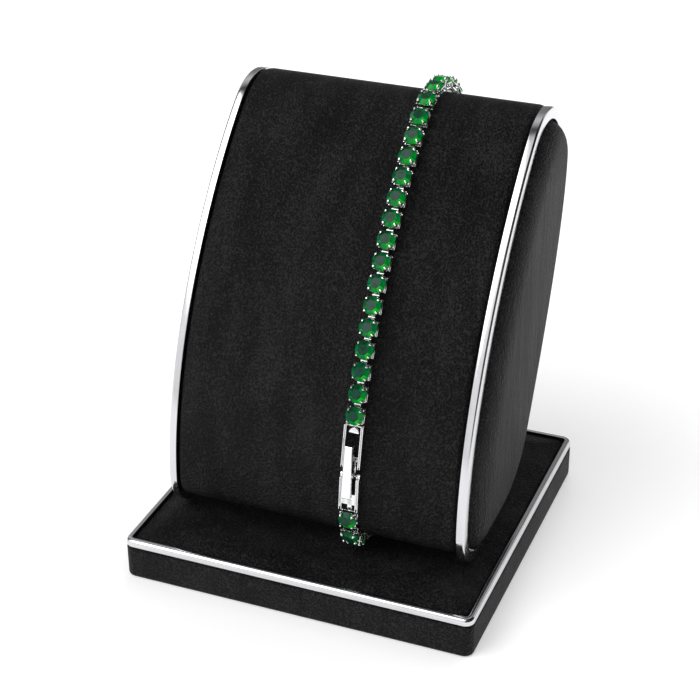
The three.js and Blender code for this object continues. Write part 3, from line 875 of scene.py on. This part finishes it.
lever_length = 8.7 * mm
lever_half = 0.8 * mm
lever_top = 2.6 * mm
lever_height = 1.3 * mm
lever_wall = 0.25 * mm
lever_above_hinge = 5.45 * mm
lever_start = hinge_point + lever_above_hinge - lever_length
lever_place = frame_between(lever_start, lever_start + lever_length)
lug_radius = 0.33 * mm
running_clearance = 0.12 * mm
pin_inset = 0.4 * mm
pin_height = lever_top - lever_wall - running_clearance - lug_radius
lever_pin = Vector((0, pin_inset - lever_length / 2, pin_height))
lower_place = frame_between(clasp_bottom, hinge_point)
pin = lower_place.inverted() @ lever_place @ lever_pin
hinge = (clasp_length - upper_length) / 2
plate_top = pin.y - pin_inset - running_clearance
plate_length = 1.9 * mm
tab_overlap = 0.9 * mm
lug_root = 0.4 * mm
lug_half = lever_half - lever_wall - clearance
lower_parts = rails(-hinge - rail_reach, hinge - knuckle_radius / 2, lower_thick)
lower_parts += [
    box_piece(-cross_half, cross_half, plate_top - plate_length, plate_top, 0, bar_height),
    box_piece(-tab_half, tab_half, -hinge - link_reach, plate_top - tab_overlap, 0, bar_height),
    box_piece(-lug_half, lug_half, plate_top - lug_root, pin.y + lug_radius, 0, bar_height),
    box_piece(-lug_half, lug_half, pin.y - lug_radius / 2, pin.y + lug_radius, 0, pin.z),
    barrel_piece(-lug_half, lug_half, pin.y, pin.z, lug_radius),
    barrel_piece(-lever_half, lever_half, pin.y, pin.z, rivet_radius),
    barrel_piece(clasp_half - knuckle_width, clasp_half, hinge, tab_height, knuckle_radius, 20),
    barrel_piece(-clasp_half, knuckle_width - clasp_half, hinge, tab_height, knuckle_radius, 20),
]
lower_frame = joined("clasp_lower", lower_parts)
place_piece(lower_frame, lower_place)
finish_piece(lower_frame, silver, "stand", "silver", "clasp_lower_frame")

pin_half = clasp_half - 0.05 * mm
hinge_pin_radius = 0.2 * mm
hinge_pin = barrel_piece(-pin_half, pin_half, hinge, tab_height, hinge_pin_radius)
hinge_pin.name = hinge_pin.data.name = "clasp_pin"
place_piece(hinge_pin, lower_place)
finish_piece(hinge_pin, silver, "stand", "silver", "clasp_hinge_pin")


def tapered_bar(bottom_half, top_half, y0, y1, z0, z1, edge):
    """A bar along Y, narrower at its upper end."""
    bar = box_piece(-bottom_half, bottom_half, y0, y1, z0, z1, edge)
    bpy.ops.object.mode_set(mode="EDIT")
    pick(bar, "VERT", lambda vertex: vertex.co.y > (y0 + y1) / 2)
    bpy.ops.transform.resize(value=(top_half / bottom_half, 1, 1), center_override=(0, 0, 0))
    bpy.ops.object.mode_set(mode="OBJECT")
    return bar


def cut_away(piece, *tools):
    """Cuts the shapes of the tools out of a piece and removes the tools."""
    for tool in tools:
        modify(piece, "BOOLEAN", object=tool, operation="DIFFERENCE", solver="EXACT")
        bpy.data.objects.remove(tool)


lever_end = lever_length / 2
lever_top_half = 0.68 * mm
lever_low = lever_top - lever_height
lever_edge = 0.1 * mm
channel_edge = 0.02 * mm
lever = tapered_bar(
    lever_half, lever_top_half, -lever_end, lever_end, lever_low, lever_top, lever_edge
)
lever.name = lever.data.name = "clasp_cover"
channel = tapered_bar(
    lever_half - lever_wall,
    lever_top_half - lever_wall,
    -lever_end - clearance,
    lever_end - lever_wall,
    lever_low - clearance,
    lever_top - lever_wall,
    channel_edge,
)
eye_radius = rivet_radius + running_clearance
eye = barrel_piece(-2 * lever_half, 2 * lever_half, lever_pin.y, lever_pin.z, eye_radius)
cut_away(lever, channel, eye)
place_piece(lever, lever_place)
finish_piece(lever, silver, "lever", "silver", "clasp_lever")


# Floor, light and camera: a plain white floor under a studio sky, white in front, dark overhead
# and at the right. A soft box at the front left shows in the gloss, and two more, at the right
# and behind, only fill. The camera stands at the front right, looking down.
clear_selection()
bpy.ops.mesh.primitive_plane_add(size=20, location=(0, 0, 0))
floor = begin("floor")
floor_paint = new_material(
    "floor_white",
    {
        "Base Color": (0.9, 0.9, 0.9, 1),
        "Roughness": 0.8,
        "Specular IOR Level": 0.1,
        "Emission Color": (1.0, 1.0, 1.0, 1),
        "Emission Strength": 0.24,
    },
)[0]
floor.data.materials.append(floor_paint)

world = bpy.data.worlds.new("studio")
bpy.context.scene.world = world
world.use_nodes = True
sky = Wire(world.node_tree)
direction = sky.node("ShaderNodeTexCoord", output="Generated")
to_right = sky.node("ShaderNodeSeparateXYZ", None, {"Vector": direction}, output="X")
to_back = sky.node("ShaderNodeSeparateXYZ", None, {"Vector": direction}, output="Y")


def shade(wire, *stops):
    """Turns one part of the sky's direction, from -1 to 1, into a brightness."""
    greys = [((place + 1) / 2, (grey, grey, grey, 1)) for place, grey in stops]
    return wire.node("ShaderNodeValToRGB", {"stops": greys}, {"Fac": wire * 0.5 + 0.5})


front_to_back = shade(
    to_back,
    (-0.9, 1.0),
    (-0.6, 1.2),
    (-0.25, 1.0),
    (-0.02, 0.12),
    (0.15, 0.03),
    (0.3, 0.4),
    (0.5, 0.7),
    (0.8, 0.22),
)
left_to_right = shade(to_right, (-1.0, 0.8), (0.0, 1.0), (0.2, 0.9), (0.32, 0.06), (1.0, 0.06))
back_right = shade(to_back, (0.66, 0.0), (0.74, 0.75)) * shade(to_right, (0.34, 0.0), (0.42, 1.0))
studio = front_to_back * left_to_right + back_right
backdrop = world.node_tree.nodes["Background"]
world.node_tree.links.new(studio.socket, backdrop.inputs["Color"])
backdrop.inputs["Strength"].default_value = 1.0


def soft_box(name, place, aim, width, height, watts, seen_in_gloss):
    """A rectangular area light at a place, turned towards its aim."""
    lamp = bpy.data.lights.new(name, "AREA")
    lamp.shape = "RECTANGLE"
    lamp.size, lamp.size_y = width, height
    lamp.energy = watts
    holder = bpy.data.objects.new(name, lamp)
    bpy.context.scene.collection.objects.link(holder)
    holder.location = place
    holder.rotation_euler = (Vector(aim) - Vector(place)).to_track_quat("-Z", "Y").to_euler()
    holder.visible_glossy = seen_in_gloss


soft_box("key_box", (-0.34, -0.36, 0.58), (0, 0, 0.02), 0.6, 0.6, 2.9, True)
soft_box("fill_box", (0.45, 0.1, 0.5), (0, 0, 0.02), 0.8, 0.8, 1.6, False)
soft_box("back_box", (0.05, 0.5, 0.4), (0, 0, 0.02), 0.6, 0.4, 1.4, False)

camera_azimuth = math.radians(21.96)
camera_elevation = math.radians(29.34)
camera_roll = math.radians(-0.39)
camera_distance = 289.2 * mm
camera_aim = Vector((-1.25 * mm, 0, 33.55 * mm))
lens_to_frame = 1764.3 / 700
away = Vector(
    (
        math.sin(camera_azimuth) * math.cos(camera_elevation),
        -math.cos(camera_azimuth) * math.cos(camera_elevation),
        math.sin(camera_elevation),
    )
)
camera = bpy.data.objects.new("camera", bpy.data.cameras.new("camera"))
bpy.context.scene.collection.objects.link(camera)
camera.location = camera_aim + away * camera_distance
turned = (-away).to_track_quat("-Z", "Y").to_matrix() @ Matrix.Rotation(camera_roll, 3, "Z")
camera.rotation_euler = turned.to_euler()
camera.data.sensor_width = 36
camera.data.lens = camera.data.sensor_width * lens_to_frame
camera.data.clip_start = 0.01
camera.data.clip_end = 20
bpy.context.scene.camera = camera
bpy.context.scene.view_settings.view_transform = "Standard"
